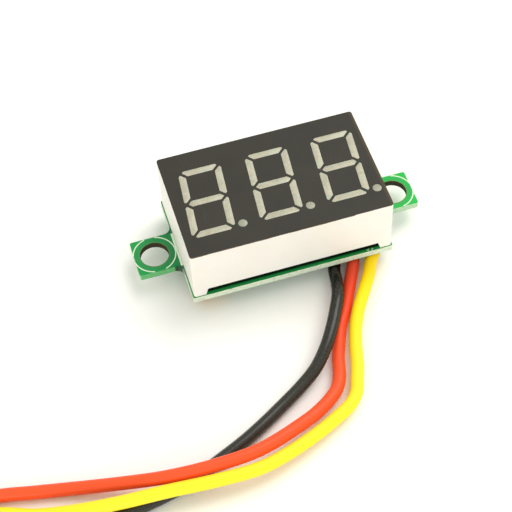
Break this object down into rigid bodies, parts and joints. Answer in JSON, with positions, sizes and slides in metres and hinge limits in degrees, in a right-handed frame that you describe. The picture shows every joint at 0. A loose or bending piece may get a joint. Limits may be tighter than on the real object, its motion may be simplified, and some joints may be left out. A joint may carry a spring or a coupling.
{
  "type": "panel voltmeter module",
  "caption": "Small digital DC voltmeter for panel mounting: seven-segment display on a board with two screw ears, with insulated leads and a calibration trimmer.",
  "frame": {"origin": "on the resting plane, under the middle of the circuit board and display", "axes": "+X along the two screw ears, +Y towards the digits' tops, +Z out of the display's face"},
  "size_m": [0.0807, 0.0367, 0.0099],
  "materials": {
    "white_plastic": "moulded, satin",
    "black_ink": "matt printed ink",
    "milky_epoxy": "cloudy cast epoxy",
    "white_laminate": "plain laminate",
    "green_board": "solder mask over glass laminate",
    "tinned_metal": "tin and solder",
    "black_moulding": "moulded chip package",
    "blue_ceramic": "glazed film",
    "white_ceramic": "fired ceramic",
    "brown_ceramic": "fired ceramic",
    "yellow_moulding": "moulded",
    "brass": "stamped, plain",
    "black_vinyl": "extruded insulation",
    "red_vinyl": "extruded insulation",
    "yellow_vinyl": "extruded insulation",
    "white_tie": "flexible strip"
  },
  "bodies": {
    "module": {"reflector_housing": "white_plastic", "face_mask": "black_ink", "segment_casting": "milky_epoxy", "led_board": "white_laminate", "display_pin_1": "tinned_metal", "display_pin_2": "tinned_metal", "display_pin_3": "tinned_metal", "display_pin_4": "tinned_metal", "display_pin_5": "tinned_metal", "display_pin_6": "tinned_metal", "display_pin_7": "tinned_metal", "display_pin_8": "tinned_metal", "display_pin_9": "tinned_metal", "display_pin_10": "tinned_metal", "display_pin_11": "tinned_metal", "main_pcb": "green_board", "meter_chip": "black_moulding", "voltage_regulator": "black_moulding", "protection_diode": "black_moulding", "input_capacitor": "yellow_moulding", "output_capacitor": "yellow_moulding", "filter_capacitor_1": "brown_ceramic", "filter_capacitor_2": "brown_ceramic", "resistor_1": "blue_ceramic", "resistor_2": "blue_ceramic", "resistor_3": "blue_ceramic", "resistor_4": "blue_ceramic", "resistor_5": "black_moulding", "resistor_6": "black_moulding", "resistor_7": "black_moulding", "resistor_8": "black_moulding", "trimmer_base": "white_ceramic", "lead_black": "black_vinyl", "lead_red": "red_vinyl", "lead_yellow": "yellow_vinyl", "lead_tip_black": "tinned_metal", "lead_tip_red": "tinned_metal", "lead_tip_yellow": "tinned_metal", "pad_solder_black": "tinned_metal", "pad_solder_red": "tinned_metal", "pad_solder_yellow": "tinned_metal", "lead_coil": "red_vinyl", "coil_tie": "white_tie"},
    "trimmer": {"trimmer_rotor": "brass"}
  },
  "joints": [
    {"name": "trimmer_turn", "type": "hinge", "parent": "module", "child": "trimmer", "pos_m": [-0.0084, 0.0018, 0.0009], "axis": [0, 0, -1], "range_deg": [-120, 120]}
  ]
}
